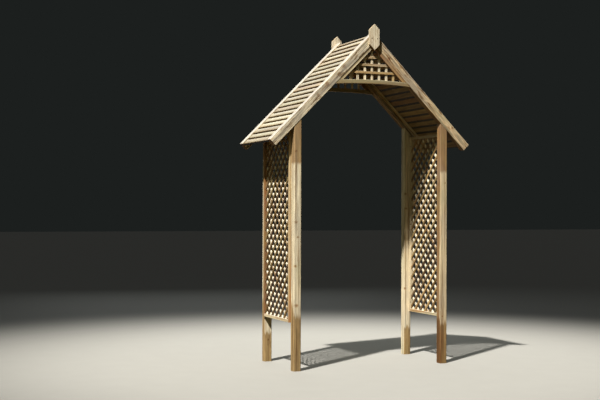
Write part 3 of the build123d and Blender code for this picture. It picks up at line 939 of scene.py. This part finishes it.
screw_radius, recess_radius, recess_lobe, nail_radius = 0.0048, 0.0021, 0.0003, 0.0028
crown_half, wire, sunk = 0.005, 0.0012, -0.003
screw = lathe("screw", [
    (screw_radius / 2, sunk, 0), (screw_radius, -0.0005, 0), (screw_radius, 0, 0),
    (screw_radius - 0.0002, screw_proud - 0.0001, 0),
    (recess_radius, screw_proud - 0.0001, recess_lobe),
    (recess_radius * 0.9, 0.0001, recess_lobe)], 24)
nail = lathe("nail", [(0.001, sunk, 0), (nail_radius, -0.0004, 0), (nail_radius, 0.0002, 0),
                      (nail_radius - 0.0005, 0.0005, 0)], 10)
bends = [(crown_half * x, z, Vector(way)) for x, z, way in (
    (-1, sunk, (0, 0, 1)), (-1, -0.0003, (0, 0, 1)), (-0.88, 0.0003, (1, 0, 0)),
    (0.88, 0.0003, (1, 0, 0)), (1, -0.0003, (0, 0, -1)), (1, sunk, (0, 0, -1)))]
rings = [[Vector((x, 0, z)) + (Vector((way.z, 0, -way.x)) * cos(t) + Vector((0, 1, 0)) * sin(t))
          * wire / 2 for t in (pi / 4, pi * 3 / 4, pi * 5 / 4, pi * 7 / 4)] for x, z, way in bends]
staple = linked("staple", loft("staple", rings, rings))

# Screws: each side of the middle of a finial and of a post, and in the middle and near both
# ends of a stile. Nails: down the slope in a cleat and a batten, and two at each end of a
# board, a little out of line
finial_screw, finial_screw_height, post_screw, stile_screw = 0.028, 2.925, 0.018, 0.09
cleat_nails, batten_nails = [0.09 + 0.24 * i for i in range(6)], (0.10, 0.24, 0.38)
board_nails, nail_drift, nearest_ridge, nearest_frame = (0.022, 0.052), 0.002, 0.03, 0.012
ridge, nail_line, stile_line = Vector((0, 0, ridge_height)), 0.309, 0.7445
screws, nails, staples = [], [], []
draw = random.Random(9)
for end, front in ENDS.items():
    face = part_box(f"finial_{end}")[0 if front < 0 else 1][1] - front * screw_proud
    screws += [((x, face, finial_screw_height), (0, front, 0))
               for x in (-finial_screw, finial_screw)]
    for side, hand in SIDES.items():
        fall, out = slope_ways(side)
        low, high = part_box(f"rafter_{end}_{side}")
        over = ridge + Vector((0, (low[1] + high[1]) / 2, 0))
        low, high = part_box(f"post_{end}_{side}")
        reach = abs(low[0] + high[0]) / 2 / cos(slope)
        screws += [(over + fall * (reach + shift), out) for shift in (-post_screw, post_screw)]
        low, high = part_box(f"panel_stile_{end}_{side}")
        screws += [((hand * stile_line, (high if front < 0 else low)[1], level), (0, -front, 0))
                   for level in (low[2] + stile_screw, (low[2] + high[2]) / 2,
                                 high[2] - stile_screw)]
        low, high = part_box(f"board_cleat_{end}_{side}")
        inner = ridge + Vector((0, (high if front < 0 else low)[1], 0))
        nails += [(inner + fall * s - out * (cleat_top + cleat_size / 2), (0, -front, 0))
                  for s in cleat_nails]
        low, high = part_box(f"gable_batten_{end}_{side}")
        under = Vector((0, (low[1] + high[1]) / 2, ridge_underside))
        nails += [(under + fall * s - out * batten_width, -out) for s in batten_nails]
        for row in range(board_count):
            for up in board_nails:
                up += draw.uniform(-nail_drift, nail_drift)
                s = rafter_length - row * board_cover - up
                if s > nearest_ridge:
                    nails.append((ridge + Vector((0, front * nail_line, 0)) + fall * s - out * (
                        board_sunk + board_taper * up), out - fall * board_taper))

    # Staples at the crossings that the battens leave free
    low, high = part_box(f"gable_lattice_{end}")
    for row in range(gable_rows):
        for column in range(-columns, columns + 1):
            x, up = column * gable_pitch_across, gable_first_lath + row * gable_pitch_up
            if abs(x) * tan(slope) + up < gable_height - 1.6 * batten_width:
                staples.append(((x, low[1] if front < 0 else high[1], crown + up),
                                (0, front, 0), (1, 0, 0)))
for side, hand in SIDES.items():
    low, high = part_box(f"side_lattice_{side}")
    for i in range(-count, count + 1):
        for j in range(-count, count + 1):
            level, up = (i + j) * side_pitch / sqrt(2), (i - j) * side_pitch / sqrt(2) + crossing
            if (abs(level) < high[1] - nearest_frame
                    and low[2] + nearest_frame < up < high[2] - nearest_frame):
                staples.append(((low[0] if hand < 0 else high[0], level, up), (hand, 0, 0),
                                (0, 1, 0)))

tree, given = node_tree("fixings set in the wood", {"Fixing": "Object", "Finish": "Material"})
facing, lie = (add(tree, "GeometryNodeInputNamedAttribute", {"Name": label},
                   data_type="FLOAT_VECTOR") for label in ("facing", "lie"))
turn = add(tree, "FunctionNodeAxesToRotation", {"Primary Axis": facing, "Secondary Axis": lie},
           primary_axis="Z", secondary_axis="X")
model = add(tree, "GeometryNodeObjectInfo", {"Object": given["Fixing"]}, out="Geometry")
heads = add(tree, "GeometryNodeInstanceOnPoints", {
    "Points": given["Geometry"], "Instance": model, "Rotation": turn})
heads = add(tree, "GeometryNodeRealizeInstances", {"Geometry": heads})
heads = add(tree, "GeometryNodeSetMaterial", {"Geometry": heads, "Material": given["Finish"]})
add(tree, "NodeGroupOutput", {"Geometry": heads})

# A brown resin coat on the screws, their darkness partly painted shade of the countersinks, and
# zinc dulled by the weather; both with stains 3 mm across
zinc = "A5A6A3", "8B8A85"
for name, model, spots, finish_name, bare, codes, dull in (
        ("screws", screw, screws, "brown-coated steel, with painted countersink shade", 0.0, ("4E3826", "2C2018"), 0.45),
        ("nails", nail, nails, "galvanised steel, weathered nails", 1.0, zinc, 0.55),
        ("staples", staple, staples, "galvanised steel, weathered wire", 1.0, zinc, 0.5)):
    finish = bpy.data.materials.new(finish_name)
    finish.use_nodes = True
    nodes = finish.node_tree
    stains = add(nodes, "ShaderNodeTexNoise", {"Vector": add(
        nodes, "ShaderNodeTexCoord", out="Object"), "Scale": 330, "Detail": 2})
    metal = nodes.nodes["Principled BSDF"]
    metal.inputs["Metallic"].default_value = bare
    nodes.links.new(add(nodes, "ShaderNodeMix", {0: stains, 6: colour(codes[0]), 7: colour(
        codes[1])}, out=2, data_type="RGBA"), metal.inputs["Base Color"])
    nodes.links.new(add(nodes, "ShaderNodeMapRange", {"Value": stains, "To Min": dull - 0.1,
                    "To Max": dull + 0.15}), metal.inputs["Roughness"])
    start = bpy.data.meshes.new(name)
    start.from_pydata([spot[0] for spot in spots], [], [])
    spots = [(*spot[:2], spot[2] if len(spot) > 2 else [draw.gauss(0, 1) for _ in range(3)])
             for spot in spots]
    for label, column in (("facing", 1), ("lie", 2)):
        start.attributes.new(label, "FLOAT_VECTOR", "POINT").data.foreach_set(
            "vector", [v for spot in spots for v in spot[column]])
    fixings = grown(name, tree, {"Fixing": model, "Finish": finish}, start)
    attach(fixings, "root")
    bpy.data.objects.remove(model)
